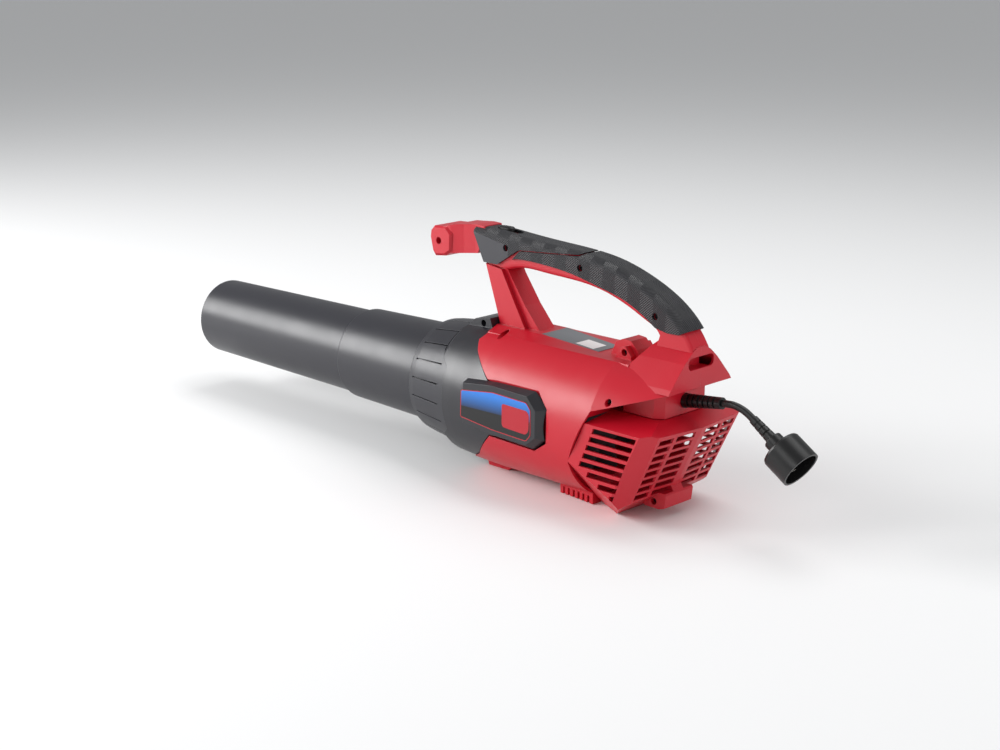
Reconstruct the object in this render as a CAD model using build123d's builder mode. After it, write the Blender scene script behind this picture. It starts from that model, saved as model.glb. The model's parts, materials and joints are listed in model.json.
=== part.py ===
from build123d import *
import os
from math import cos, radians, sin, tan

os.makedirs("parts", exist_ok=True)

# Handheld corded leaf blower. Millimetres, +Z up, +X towards the air intake, the tube
# points along -X and the operator's left side is -Y. The origin is on the ground under
# the middle of the machine's length.
axis_z = 86.0          # height of the fan axis above the ground
axis_x = 22.0          # station zero of the fan axis: front edge of the lock collar

# Blower tube
tip_x = -415.0         # outlet end of the nozzle tube
step_x = -134.0        # where the nozzle tube enters the rear tube
tip_r = 47.0
nozzle_r = 50.7        # nozzle tube at the step
rear_tube_r = 54.3     # rear tube at the step
tube_root_r = 57.5     # rear tube inside the collar
tube_wall = 2.5
nozzle_socket = 30.0   # how far the nozzle tube enters the rear tube
tube_end_x = 66.0      # rear end of the rear tube

# Lock collar and outlet duct
collar_front_r = 59.7
collar_rear_r = 74.2
collar_ribs = 20
tab_tip_x = 70.5       # end of the collar's two side tabs
tab_root_x = 52.5      # collar edge above and below the tabs
tab_tip_z = 34.0
tab_root_z = 48.0
edge_gap = 2.2         # gap between the collar and the cuff
duct_gap = 0.6         # outlet duct to rear tube, on the radius
duct_wall = 2.6

# Cuff and housing shell
barrel_r = 82.5
wall = 3.0
cuff_front_r = 73.2
seam_gap = 0.8         # cuff to housing
pod_y = 86.0           # outer face of the side pods
shell_end_x = 259.0    # lower rear end of the barrel
tail_x = 368.0         # rear face of the tail
roof_low = (289.0, 30.0)
roof_high = (tail_x + 1.0, 56.5)

# Handle
core_half = 14.0       # half width of the handle core
grip_skin = 3.3        # grip thickness
grip_half = core_half + grip_skin
post_half = 17.0
nose_half = 22.0
nose_hole_r = 4.0

# Intake grille
grille_wall = 2.6
grille_side_y = 79.0
slat_pitch = 9.5
slat_gap = 6.0         # height of one intake slot
slat_rows = 8

# Motor and fan
shaft_r = 5.0
fan_r = 63.0
fan_hub_r = 33.0
fan_x = 236.0
fan_width = 30.0
fan_blades = 9
tip_gap = 1.2
pod_r = 40.0
vane_count = 7
armature_r = 21.0
run_gap = 0.04         # shaft in its bearings, on the radius

# Speed slider in the top of the handle
slider_x = 102.0
slot_length = 36.0
slot_width = 12.0
pocket_z = 168.0
pocket_height = 7.4
slider_length = 20.0
slider_travel = 12.0

# Cord and plug
cord_d = 7.4
cord_exit = (349.0, 38.5)

screw_head_r = 3.2
screw_hole_r = 3.7
screw_r = 1.9


def side(y=0.0):
    """Plane along the fan axis, y to the left of it; sketch x runs aft, sketch y up."""
    return Plane(origin=(axis_x, -y, axis_z), x_dir=(1, 0, 0), z_dir=(0, -1, 0))


def section(x):
    """Plane across the fan axis at station x; sketch x points right, sketch y up."""
    return Plane(origin=(axis_x + x, 0, axis_z), x_dir=(0, 1, 0), z_dir=(1, 0, 0))


def level(z):
    """Horizontal plane z above the fan axis."""
    return Plane(origin=(axis_x, 0, axis_z + z))


fan_axis = Axis((axis_x, 0, axis_z), (1, 0, 0))


def turned(*points, mode=Mode.ADD):
    """A ring or disc turned about the fan axis; points are (station, radius)."""
    with BuildSketch(side()) as outline:
        Polygon(*points, align=None)
    revolve(outline.sketch, axis=fan_axis, mode=mode)


def prism(points, half, mode=Mode.ADD):
    """A side-view outline pulled out to both sides of the middle plane."""
    with BuildSketch(side()) as outline:
        Polygon(*points, align=None)
    extrude(outline.sketch, amount=half, both=True, mode=mode)


def screw_hole(x, z, seat):
    """A cross hole at a side-view point, with a bore for the head beyond each seat."""
    for radius, start, length in ((screw_r + 0.1, -seat, 2 * seat), (screw_hole_r, seat, 80),
                                  (screw_hole_r, -seat, -80)):
        with BuildSketch(side(start)) as ring:
            with Locations((x, z)):
                Circle(radius)
        extrude(ring.sketch, amount=length, mode=Mode.SUBTRACT)


def screw(x, z, seat):
    """A pan-head screw across the machine, its head on the left side's seat."""
    with BuildSketch(side(seat)) as head:
        with Locations((x, z)):
            Circle(screw_head_r)
            RegularPolygon(1.5, 6, mode=Mode.SUBTRACT)
    extrude(head.sketch, amount=2.4)
    with BuildSketch(side(seat)) as disc:
        with Locations((x, z)):
            Circle(screw_head_r)
    extrude(disc.sketch, amount=0.8)
    with BuildSketch(side(seat)) as shank:
        with Locations((x, z)):
            Circle(screw_r)
    extrude(shank.sketch, amount=1.0 - 2 * seat)


def save(builder, name):
    builder.part.label = name
    export_step(builder.part, f"parts/{name}.step")


def save_halves(builder, name):
    """Part the piece at the middle plane and write both halves."""
    for hand, kept in (("left", Keep.TOP), ("right", Keep.BOTTOM)):
        with BuildPart() as half:
            add(builder.part)
            split(bisect_by=Plane.XZ, keep=kept)
        half.part.label = f"{name}_{hand}"
        export_step(half.part, f"parts/{name}_{hand}.step")


# ---------------------------------------------------------------- blower tube
socket_x = step_x + nozzle_socket
socket_r = rear_tube_r - tube_wall

with BuildPart() as nozzle_tube:
    turned((tip_x, tip_r), (step_x, nozzle_r), (socket_x, socket_r - 0.2),
           (socket_x, socket_r - 0.2 - tube_wall), (step_x, nozzle_r - tube_wall),
           (tip_x, tip_r - tube_wall))
    fillet(nozzle_tube.edges().group_by(Axis.X)[0], tube_wall * 0.4)
save(nozzle_tube, "nozzle_tube")

with BuildPart() as rear_tube:
    turned((step_x, rear_tube_r - 1.2), (step_x + 2.0, rear_tube_r), (0, tube_root_r),
           (tube_end_x, tube_root_r), (tube_end_x, tube_root_r - tube_wall),
           (0, tube_root_r - tube_wall), (socket_x + 12.0, socket_r - 1.5),
           (socket_x, socket_r - 3.0), (socket_x, socket_r), (step_x, socket_r))
save(rear_tube, "rear_tube")


def tab_outline(gap):
    """Side view of the space that a side tab of the collar takes, widened by a gap."""
    return [(tab_root_x - 20, tab_root_z + gap), (tab_root_x + gap, tab_root_z + gap),
            (tab_tip_x + gap, tab_tip_z + gap * 0.6), (tab_tip_x + gap, -tab_tip_z - gap * 0.6),
            (tab_root_x + gap, -tab_root_z - gap), (tab_root_x - 20, -tab_root_z - gap)]


with BuildPart() as lock_collar:
    turned((0, tube_root_r), (0, collar_front_r), (3.0, collar_front_r + 3.5),
           (6.0, collar_front_r + 6.0), (14.0, collar_front_r + 7.4),
           (tab_tip_x, collar_rear_r), (tab_tip_x, tube_root_r))
    for up in (1, -1):
        prism([(tab_root_x, up * tab_root_z), (tab_tip_x + 1, up * (tab_tip_z - 0.8)),
               (tab_tip_x + 1, up * 90), (tab_root_x, up * 90)], 90, Mode.SUBTRACT)
    with BuildSketch(section(12.0)):
        with PolarLocations(collar_rear_r - 4.0, collar_ribs, start_angle=8):
            Rectangle(9.8, 1.5)
    extrude(amount=46.0, mode=Mode.SUBTRACT)
save(lock_collar, "lock_collar")

duct_r = tube_root_r - tube_wall - duct_gap
duct_front_x = 22.0
duct_flange_x = 76.0
duct_end_x = 95.0
duct_end_r = 76.0
seal_x = 44.0
seal_width = 4.0
with BuildPart() as outlet_duct:
    turned((duct_front_x, duct_r), (duct_flange_x, duct_r), (duct_flange_x, 68.0),
           (duct_end_x, duct_end_r), (duct_end_x, duct_end_r - duct_wall),
           (duct_flange_x + 4, 66.0 - duct_wall), (duct_flange_x - 2, duct_r - duct_wall),
           (duct_front_x, duct_r - duct_wall))
    turned((seal_x, duct_r - 1.2), (seal_x, duct_r + 1), (seal_x + seal_width, duct_r + 1),
           (seal_x + seal_width, duct_r - 1.2), mode=Mode.SUBTRACT)
save(outlet_duct, "outlet_duct")

with BuildPart() as tube_seal:
    turned((seal_x, duct_r - 1.2), (seal_x, duct_r + 0.3), (seal_x + seal_width, duct_r + 0.3),
           (seal_x + seal_width, duct_r - 1.2))
save(tube_seal, "tube_seal")

# ---------------------------------------------------------------- cuff with side pods
pod_base = [(112, 31), (155, 35), (213, 36), (231, 20), (230.5, -15), (211, -27.5),
            (151, -25.5), (112, -21)]
pod_face = [(114, 28), (155, 33), (209, 31.5), (221, 18), (220.5, -11), (207, -22),
            (152, -20.5), (114, -17.5)]
pod_label = [(111, 20), (159, 26.4), (208.5, 25), (214.8, 17.7), (214.8, -9.6), (208.2, -17.3),
             (159, -15.4), (111, -10.4)]
cuff_rear = [(95, 90), (97.6, 85), (101.6, 76), (102, 71), (99, 66), (108, 57), (119, 49), (141, 33), (160, 32),
             (160, -24), (146, -25), (110, -57.5), (86, -69), (80, -90)]


def grown(points, gap, centre):
    """The outline pushed away from its centre point by about the gap."""
    moved = []
    for x, z in points:
        sx = gap if x > centre[0] else -gap
        sz = gap if z > centre[1] else -gap
        moved.append((x + sx, z + sz))
    return moved


cuff_top_z = 86.0
ear_half = 27.0
ear_outline = [(59, 70), (74, 82.5), (90, 85.5), (96.5, cuff_top_z), (100.6, 75), (86, 60), (62, 60)]
ear_hole = (86.6, 79.0, 13.0)

with BuildPart() as cuff:
    turned((tab_root_x + edge_gap, cuff_front_r), (62.0, 78.2), (84.0, 79.6), (150.0, barrel_r),
           (165.0, barrel_r), (165.0, barrel_r - wall), (84.0, 79.6 - wall), (62.0, 78.2 - wall),
           (tab_root_x + edge_gap, cuff_front_r - wall))
    prism([(40, 90)] + cuff_rear + [(40, -90)], 100, Mode.INTERSECT)
    prism(ear_outline, ear_half)
    turned((40, 0), (40, 70), (84.0, 79.6 - wall), (110, 79.6 - wall), (110, 0), mode=Mode.SUBTRACT)
    prism(tab_outline(edge_gap), 100, Mode.SUBTRACT)
    for hand in (1, -1):
        with BuildSketch(side(hand * 76.0)):
            Polygon(*pod_base, align=None)
        with BuildSketch(side(hand * pod_y)):
            Polygon(*pod_face, align=None)
        loft(ruled=True)
        with BuildSketch(side(hand * pod_y)):
            Polygon(*pod_label, align=None)
        extrude(amount=-hand * 0.6, mode=Mode.SUBTRACT)
    turned((100, 0), (100, barrel_r - wall), (240, barrel_r - wall), (240, 0), mode=Mode.SUBTRACT)
    screw_hole(*ear_hole)
save_halves(cuff, "cuff")

for hand_name, hand in (("left", 1), ("right", -1)):
    with BuildPart() as side_label:
        with BuildSketch(side(hand * (pod_y - 0.6))):
            Polygon(*pod_label, align=None)
        extrude(amount=hand * 0.9)
    save(side_label, f"side_label_{hand_name}")

# ---------------------------------------------------------------- handle core, post and nose
outer_top = [(62, 183), (94, 181.6), (147, 177.8), (203, 175), (251, 169.8), (300, 155),
             (341, 133), (361, 114)]
core_top = [(x - grip_skin * (x / 400) ** 2, z - grip_skin) for x, z in outer_top]
loop_edge = [(324, 100), (321, 106), (307, 114.5), (284, 124.7), (247, 137), (207.5, 142.2),
             (163.5, 144), (136, 144.9), (114, 141)]
grip_edge = [(321, 112), (307, 121), (279, 134), (247, 142), (207, 150.4), (163.5, 154.6),
             (140, 155.3), (124, 154.4)]
cheek = [(96.4, 144.7), (76.6, 144.7), (60.8, 176.6)]
channel_half = 9.0

with BuildPart() as core_block:
    with BuildSketch(side()):
        with BuildLine():
            Spline(*core_top)
            Polyline(core_top[-1], (tail_x - 1, 97), (tail_x - 1, 66), (300, 66), (311, 88),
                     (322, 94), loop_edge[0])
            Spline(*loop_edge)
            Polyline(loop_edge[-1], (80, 143), (62, 174), core_top[0])
        make_face()
    extrude(amount=core_half, both=True)
    fillet(core_block.edges().filter_by(GeomType.BSPLINE), 5.0)

with BuildPart() as handle_core:
    add(core_block.part)
    # hollow for the leads
    prism([(117, 168.2), (117, 173), (203, 167.5), (251, 162), (292, 150), (336, 126), (350, 112), (350, 60),
           (331, 60), (331, 100), (323, 114), (300, 126), (262, 139), (207, 148), (124, 150)],
          channel_half, Mode.SUBTRACT)

post_front = [(102, 76), (78.6, 143.6)]
post_rear = [(104, 140), (122, 109), (142, 76)]
ridge_rear = [(108, 141), (135, 104), (160, 76)]
ridge_half = 12.0
with BuildPart() as post:
    prism(post_front + post_rear, post_half)
    prism(post_front + ridge_rear, ridge_half)
    chamfer(post.edges().filter_by(Axis.Y, reverse=True).filter_by(GeomType.LINE).sort_by(Axis.X)[0:2], 1.5)

bar_outline = [(-5, 163), (-4, 170), (2, 176), (22, 177), (30, 170), (29, 150), (20, 144), (3, 142),
               (-1, 147)]
neck_outline = [(10, 148), (12, 175), (30, 180.5), (62, 184), (74, 183.5), (76, 178), (64, 152), (30, 148)]
with BuildPart() as neck:
    prism(neck_outline, nose_half)
    with BuildSketch(level(140)):
        Polygon((8, -20.5), (27, -19.5), (44, -15.5), (60, -13.5), (80, -13.5),
                (80, 13.5), (60, 13.5), (44, 15.5), (27, 19.5), (8, 20.5), align=None)
    extrude(amount=50, mode=Mode.INTERSECT)

with BuildPart() as nose:
    prism(bar_outline, nose_half)
    chamfer(nose.faces().sort_by(Axis.Y)[0].edges() + nose.faces().sort_by(Axis.Y)[-1].edges(), 2.5)
    add(neck.part)
    with BuildSketch(side()):
        with Locations((10.4, 160)):
            Circle(nose_hole_r)
    extrude(amount=nose_half, both=True, mode=Mode.SUBTRACT)

# ---------------------------------------------------------------- tail over the cord box
tail_front_x = 296.0
tail_half_section = [(50, 56), (46.5, 61), (26, 83.5), (15, 93), (6, 98)]
tail_room_section = [(46, 56), (42, 61), (24, 80), (13, 89), (5, 93)]


def arched(points):
    """A section outline made of the half outline and its mirror image."""
    return points + [(-y, z) for y, z in reversed(points)]


with BuildPart() as tail:
    with BuildSketch(section(tail_front_x)):
        Polygon(*arched(tail_half_section), align=None)
    extrude(amount=tail_x - tail_front_x)
    prism([(296, 50), (300, 69), (320, 99), (tail_x, 99), (tail_x, 50)], 60, Mode.INTERSECT)

with BuildPart() as tail_room:
    turned((280, 0), (280, 79.2), (tail_x - wall, 70.0), (tail_x - wall, 0))
    prism([(280, 31), (289, 33), (tail_x - wall, 58.3), (tail_x - wall, 100), (280, 100)], 100,
          Mode.INTERSECT)

with BuildPart() as tail_attic:
    with BuildSketch(section(310)):
        Polygon(*arched(tail_room_section), align=None)
    extrude(amount=tail_x - wall - 310)

# ---------------------------------------------------------------- housing halves
rail_half = 36.5
rail_floor_z = 69.5
rail_stations = [(97, 21, 79.5), (168, 21, 79.5), (250, 17.5, 73.0), (304, 17.5, 73.0)]
box_rear_x = 349.0
box_half = 38.5
box_low_z = 25.0
label_slope = (rail_stations[2][2] - rail_stations[1][2]) / (rail_stations[2][0] - rail_stations[1][0])
foot_z = -axis_z
comb_slots = 6
slot_size = (40.0, 12.5)
slot_z = 82.0
housing_holes = [(124.4, 74.0, 18.0), (284.0, 80.0, 13.0), (306.0, 41.0, 34.0)]
grip_seat = 11.0
grip_holes = [(110.4, 164.5), (218.6, 158.1), (321.0, 123.4)]

with BuildPart() as housing:
    turned((80, 0), (80, 81.0), (130, barrel_r), (roof_low[0], barrel_r), (tail_x, 73.0), (tail_x, 0))
    prism([(shell_end_x, -100), (shell_end_x, -31), roof_low, roof_high, (400, 70), (400, -100)],
          100, Mode.SUBTRACT)
    # cord box under the tail
    with BuildSketch(level(box_low_z)):
        Polygon((300, -box_half), (340, -box_half), (box_rear_x, -box_half + 7), (box_rear_x, box_half - 7),
                (340, box_half), (300, box_half), align=None)
    extrude(amount=33.0)
    # front foot and the flat pad under the barrel
    prism([(81, -74), (86, foot_z), (116, foot_z), (124, -80), (124, -74)], 18)
    with BuildSketch(level(foot_z)):
        Polygon((208, -32), (shell_end_x, -37), (shell_end_x, 37), (208, 32), align=None)
    extrude(amount=14)
    # short slanted slots along both edges of the pad
    with BuildSketch(level(foot_z)):
        for index in range(comb_slots):
            with Locations((214.0 + 7.6 * index, -36), (214.0 + 7.6 * index, 36)):
                Rectangle(3.2, 10)
    extrude(amount=8, mode=Mode.SUBTRACT)
    # hollow of the barrel, the tail and the cord box
    turned((70, 0), (70, 77.8), (130, barrel_r - wall), (roof_low[0] - 3.5, barrel_r - wall),
           (roof_low[0] - 3.5, 0), mode=Mode.SUBTRACT)
    add(tail_room.part, mode=Mode.SUBTRACT)
    # flat rail along the top
    with BuildSketch(section(rail_stations[0][0])):
        with Locations((0, rail_floor_z + 15)):
            Rectangle(2 * rail_half, 30)
    extrude(amount=rail_stations[-1][0] - rail_stations[0][0], mode=Mode.SUBTRACT)
    for station in rail_stations:
        with BuildSketch(section(station[0])):
            Polygon(*arched([(rail_half + 1.5, rail_floor_z), (rail_half, 74.0), station[1:]]), align=None)
    loft(ruled=True)
    add(tail.part)
    add(tail_attic.part, mode=Mode.SUBTRACT)
    with BuildSketch(level(box_low_z + grille_wall)):
        with Locations((324, 0)):
            Rectangle(44, 2 * box_half - 18)
    extrude(amount=40.0, mode=Mode.SUBTRACT)
    # screw hump at the rear of the rail
    prism([(258, 71), (266, 88), (276, 92), (286, 91), (294, 83), (300, 71)], 12)
    prism([(272, 71), (277, 84), (285, 86.5), (293, 77), (294, 71)], 20)
    add(post.part)
    add(handle_core.part)
    add(nose.part)
    # space for the cuff, with its shut line
    prism([(40, 88), (95 + seam_gap, 88)] + grown(cuff_rear[1:-1], seam_gap, (0, 0)) + [(80, -90), (40, -90)],
          200, Mode.SUBTRACT)
    for hand in (1, -1):
        with BuildSketch(side(hand * 74.0)):
            Polygon(*grown(pod_base, 1.0, (180, 4)), align=None)
        extrude(amount=hand * 12.0, mode=Mode.SUBTRACT)
        with BuildSketch(side(hand * 80.6)):
            Polygon(*grown(pod_base, 1.6, (180, 4)), align=None)
        with BuildSketch(side(hand * 84.0)):
            Polygon(*grown(pod_base, 8.5, (180, 4)), align=None)
        loft(ruled=True, mode=Mode.SUBTRACT)
    # cord retainer slot in the tail's rear face
    with BuildSketch(section(tail_x)):
        with Locations((0, slot_z)):
            RectangleRounded(*slot_size, 5.0)
    extrude(amount=-14.0, mode=Mode.SUBTRACT)
    # strain relief seat, screw holes
    with BuildSketch(section(box_rear_x)):
        with Locations((0, cord_exit[1])):
            Circle(6.4)
    extrude(amount=-6.0, mode=Mode.SUBTRACT)
    for hole in housing_holes:
        screw_hole(*hole)
    for x, z in grip_holes:
        screw_hole(x, z, grip_seat)
    # pocket for the switch, the slot for its slider and the way down for the motor leads
    with BuildSketch(level(pocket_z)):
        with Locations((slider_x, 0)):
            Rectangle(slot_length + 2, 19)
    extrude(amount=pocket_height, mode=Mode.SUBTRACT)
    with BuildSketch(level(pocket_z)):
        with Locations((slider_x, 0)):
            SlotOverall(slot_length, slot_width)
    extrude(amount=20, mode=Mode.SUBTRACT)
    prism([(90, pocket_z), (103, pocket_z), (103, 140), (142, 76), (142, 60), (130, 60), (130, 76),
           (91, 138)], 4.0, Mode.SUBTRACT)
    prism([(335, 104), (347, 104), (347, 60), (335, 60)], 4.0, Mode.SUBTRACT)
save_halves(housing, "housing")

# ---------------------------------------------------------------- soft grips
seam_line = [(100, 146.5), (130, 164.9), (170, 168), (214.7, 171.3), (233, 180)]
seam_width = 1.4
with BuildPart() as grip_body:
    with BuildSketch(side()):
        with BuildLine():
            Spline(*outer_top)
            Polyline(outer_top[-1], (352, 109.5), (337, 109), grip_edge[0])
            Spline(*grip_edge)
            Polyline(grip_edge[-1], (110, 149), *cheek, outer_top[0])
        make_face()
    extrude(amount=grip_half, both=True)
    fillet(grip_body.edges().filter_by(GeomType.BSPLINE).group_by(Axis.Z)[-1], 9.0)
    add(core_block.part, mode=Mode.SUBTRACT)
    add(nose.part, mode=Mode.SUBTRACT)
    with BuildSketch(side()):
        with Locations(*grip_holes):
            Circle(screw_hole_r)
    extrude(amount=grip_half, both=True, mode=Mode.SUBTRACT)

with BuildPart() as grip_front:
    add(grip_body.part)
    prism([(50, 140), (98, 140)] + seam_line + [(233, 200), (50, 200)], 30, Mode.INTERSECT)
    with BuildSketch(level(pocket_z)):
        with Locations((slider_x, 0)):
            SlotOverall(slot_length, slot_width)
    extrude(amount=30, mode=Mode.SUBTRACT)
save_halves(grip_front, "grip_front")

with BuildPart() as grip_rear:
    add(grip_body.part)
    prism([(110, 144)] + [(x + seam_width * 0.7, z - seam_width) for x, z in seam_line[1:]]
          + [(236, 200), (380, 200), (380, 100), (110, 100)], 30, Mode.INTERSECT)
save_halves(grip_rear, "grip_rear")

# ---------------------------------------------------------------- intake grille
rear_slope = (0.8996, 0.0723, -0.4307)
facets = [  # a point on the facet (station, left, up) and its outward direction
    ((371.5, 0, 11.4), rear_slope),
    ((366.9, 64.5, 13.3), (0.70, 0.617, -0.357)),
    ((302.0, 47.0, -82.0), (-0.318, 0.6876, -0.6517)),
    ((338.0, 0, -57.0), (0.57, 0, -0.82)),
    ((340.0, 39.0, 24.5), (0, 0.189, 0.982)),
    ((349.0, 0, 24.5), (0.371, 0, 0.928)),
]


def faceted(inset):
    """The intake box as a block cut by its facets, each moved inwards by the inset."""
    prism([(shell_end_x - inset, 24.3 - inset), (385, 24.3 - inset), (385, foot_z + inset),
           (shell_end_x - inset, foot_z + inset)], grille_side_y - inset)
    for (x, left, z), (nx, nleft, nz) in facets:
        for hand in (1, -1):
            spot = (axis_x + x - inset * nx, -hand * (left - inset * nleft), axis_z + z - inset * nz)
            split(bisect_by=Plane(origin=spot, z_dir=(nx, -hand * nleft, nz)), keep=Keep.BOTTOM)


def slot_row(row):
    """Fore and aft ends and the height of one side slot of the grille."""
    z = 11.0 - slat_pitch * row
    fore = 294 + (z - 11) * 0.45 if z > -31 else 279 + (-31 - z) * 1.55
    return fore, 350.5 + (z - 11) * 0.44, z


with BuildPart() as intake_room:
    faceted(grille_wall)

foot_hole = (329, -69, 15.0)
shell_cut = [(shell_end_x + 0.6, -100), (shell_end_x + 0.6, -31), (roof_low[0] + 0.6, roof_low[1]),
             (400, 30), (400, -100)]
with BuildPart() as intake_grille:
    faceted(0)
    prism([(312, -52), (314, -73), (318, -76), (336, -76), (343, -74), (345, -60), (338, -50)], 22)
    add(intake_room.part, mode=Mode.SUBTRACT)
    prism(shell_cut, 100, Mode.INTERSECT)
    for row in range(slat_rows):
        fore, aft, z = slot_row(row)
        half = slat_gap / 2
        with BuildSketch(side(-grille_side_y - 5)):
            Polygon((fore + 1, z + half), (aft + 1.3, z + half), (aft - 1.3, z - half), (fore - 1, z - half),
                    align=None)
        extrude(amount=16, mode=Mode.SUBTRACT)
        with BuildSketch(side(grille_side_y + 5)):
            Polygon((fore + 1, z + half), (aft + 1.3, z + half), (aft - 1.3, z - half), (fore - 1, z - half),
                    align=None)
        extrude(amount=-16, mode=Mode.SUBTRACT)
        rear_z = 8.5 - 9.1 * row
        with BuildSketch(section(312)):
            with Locations((21.5, rear_z), (-21.5, rear_z)):
                Rectangle(27, slat_gap - 0.2)
            with Locations((49.5, rear_z), (-49.5, rear_z)):
                Rectangle(20, slat_gap - 0.2)
        extrude(amount=80, mode=Mode.SUBTRACT)
    screw_hole(*foot_hole)
save_halves(intake_grille, "intake_grille")

# ---------------------------------------------------------------- fan, motor and duct
motor_front_x = 112.0
motor_rear_x = 212.0
bearing_r = 11.0
bearing_width = 7.0
with BuildPart() as fan_shroud:
    turned((214, fan_r + tip_gap), (214, 67.5), (250, 67.5), (252, 78.7), (255.5, 78.7), (255.5, 70),
           (250, fan_r + tip_gap))
    prism([(200, rail_floor_z - 0.3), (200, 90), (270, 90), (270, rail_floor_z - 0.3)], 80, Mode.SUBTRACT)
save(fan_shroud, "fan_shroud")

with BuildPart() as guide_vanes:
    turned((100, pod_r), (100, pod_r + 2.5), (motor_rear_x, pod_r + 2.5), (motor_rear_x, pod_r))
    turned((150, 64.5), (150, 67.2), (213.6, 67.2), (213.6, 64.5))
    for index in range(vane_count):
        angle = index * 360 / vane_count
        with BuildSketch(Plane(section(152).origin, x_dir=(0, cos(radians(angle)), sin(radians(angle))),
                               z_dir=(1, 0, 0))):
            with Locations((pod_r + 13.5, 0)):
                Rectangle(26, 2.2)
        extrude(amount=55)
    turned((motor_front_x - 4, 8), (motor_front_x - 4, pod_r + 1), (motor_front_x, pod_r + 1),
           (motor_front_x, bearing_r + 4), (motor_front_x + bearing_width + 3, bearing_r + 4),
           (motor_front_x + bearing_width + 3, bearing_r), (motor_front_x, bearing_r), (motor_front_x, 8))
save(guide_vanes, "guide_vanes")

with BuildPart() as tail_cone:
    turned((62, 0), (66, 14), (80, 29), (99.6, pod_r + 2.5), (99.6, pod_r - 0.5), (82, 27), (68, 12), (64, 0))
save(tail_cone, "outlet_cone")

with BuildPart() as end_bell:
    turned((motor_rear_x - 8, bearing_r), (motor_rear_x - 8, bearing_r + 4), (motor_rear_x, bearing_r + 4),
           (motor_rear_x, pod_r - 0.2), (motor_rear_x + 3, pod_r - 0.2), (motor_rear_x + 3, 8),
           (motor_rear_x, 8), (motor_rear_x, bearing_r))
    with BuildSketch(section(motor_rear_x - 2)):
        with PolarLocations(26, 6):
            Circle(5.5)
    extrude(amount=8, mode=Mode.SUBTRACT)
save(end_bell, "motor_end_bell")

core_x = 150.0
core_length = 38.0
with BuildPart() as stator:
    turned((core_x, armature_r + 0.7), (core_x, pod_r - 0.2), (core_x + core_length, pod_r - 0.2),
           (core_x + core_length, armature_r + 0.7))
    with BuildSketch(section(core_x - 1)):
        for hand in (1, -1):
            with Locations((hand * 29.5, 0)):
                Rectangle(9, 34)
    extrude(amount=core_length + 2, mode=Mode.SUBTRACT)
save(stator, "stator_core")

with BuildPart() as coils:
    with BuildSketch(section(core_x - 9)):
        for hand in (1, -1):
            with Locations((hand * 29.5, 0)):
                Rectangle(8, 32)
    extrude(amount=core_length + 18)
    fillet(coils.edges().filter_by(Axis.Z), 2.5)
save(coils, "field_coils")

with BuildPart() as armature:
    turned((core_x, shaft_r), (core_x, armature_r), (core_x + core_length, armature_r),
           (core_x + core_length, shaft_r))
    with BuildSketch(section(core_x)):
        with PolarLocations(armature_r - 2, 12):
            Rectangle(6, 3)
    extrude(amount=core_length, mode=Mode.SUBTRACT)
save(armature, "armature_core")

with BuildPart() as windings:
    for start, end in ((core_x - 10, core_x), (core_x + core_length, core_x + core_length + 9)):
        turned((start, shaft_r + 1), (start + 2, 18.5), (end - 2, 18.5), (end, 17), (end, shaft_r + 1))
    with BuildSketch(section(core_x)):
        with PolarLocations(armature_r - 2.2, 12):
            Rectangle(5, 2.6)
    extrude(amount=core_length)
save(windings, "armature_windings")

commutator_x = 126.0
with BuildPart() as commutator:
    turned((commutator_x, shaft_r), (commutator_x, 12.5), (commutator_x + 12, 12.5), (commutator_x + 13, 14.5),
           (commutator_x + 14, 14.5), (commutator_x + 14, shaft_r))
    with BuildSketch(section(commutator_x - 1)):
        with PolarLocations(12.2, 24):
            Rectangle(1.6, 0.7)
    extrude(amount=13, mode=Mode.SUBTRACT)
save(commutator, "commutator")

shaft_end_x = 262.0
with BuildPart() as shaft:
    turned((motor_front_x + 1, 0), (motor_front_x + 1, 4.0), (motor_front_x + 11, 4.0),
           (motor_front_x + 11, shaft_r), (motor_rear_x - 10, shaft_r), (motor_rear_x - 10, 4.0),
           (shaft_end_x, 4.0), (shaft_end_x, 0))
save(shaft, "motor_shaft")

for bearing_name, start in (("front_bearing", motor_front_x), ("rear_bearing", motor_rear_x - bearing_width)):
    with BuildPart() as bearing:
        turned((start, 4.0 + run_gap), (start, bearing_r), (start + bearing_width, bearing_r),
               (start + bearing_width, 4.0 + run_gap))
        turned((start - 1, 6.2), (start - 1, 8.8), (start + 0.8, 8.8), (start + 0.8, 6.2), mode=Mode.SUBTRACT)
    save(bearing, bearing_name)

brush_half = 3.0
brush_z = commutator_x + 6.0
with BuildPart() as brush_holders:
    with BuildSketch(section(brush_z - brush_half - 2)):
        for hand in (1, -1):
            with Locations((hand * 27.0, 0)):
                Rectangle(22, 12)
    extrude(amount=2 * brush_half + 4)
    with BuildSketch(section(brush_z - brush_half - 0.1)):
        for hand in (1, -1):
            with Locations((hand * 25.5, 0)):
                Rectangle(21, 8.2)
    extrude(amount=2 * brush_half + 0.2, mode=Mode.SUBTRACT)
save(brush_holders, "brush_holders")

with BuildPart() as brushes:
    with BuildSketch(section(brush_z - brush_half)):
        for hand in (1, -1):
            with Locations((hand * 20.0, 0)):
                Rectangle(14, 8)
    extrude(amount=2 * brush_half)
    turned((commutator_x - 3, 0), (commutator_x - 3, 12.5 + 0.3), (commutator_x + 14, 12.5 + 0.3),
           (commutator_x + 14, 0), mode=Mode.SUBTRACT)
save(brushes, "carbon_brushes")

with BuildPart() as springs:
    for hand in (1, -1):
        with BuildLine():
            coil = Helix(pitch=2.6, height=7.2, radius=2.2, center=(axis_x + brush_z, hand * 27.7, axis_z),
                         direction=(0, hand, 0))
        with BuildSketch(Plane(origin=coil @ 0, z_dir=coil % 0)):
            Circle(0.45)
        sweep(path=coil)
save(springs, "brush_springs")

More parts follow.
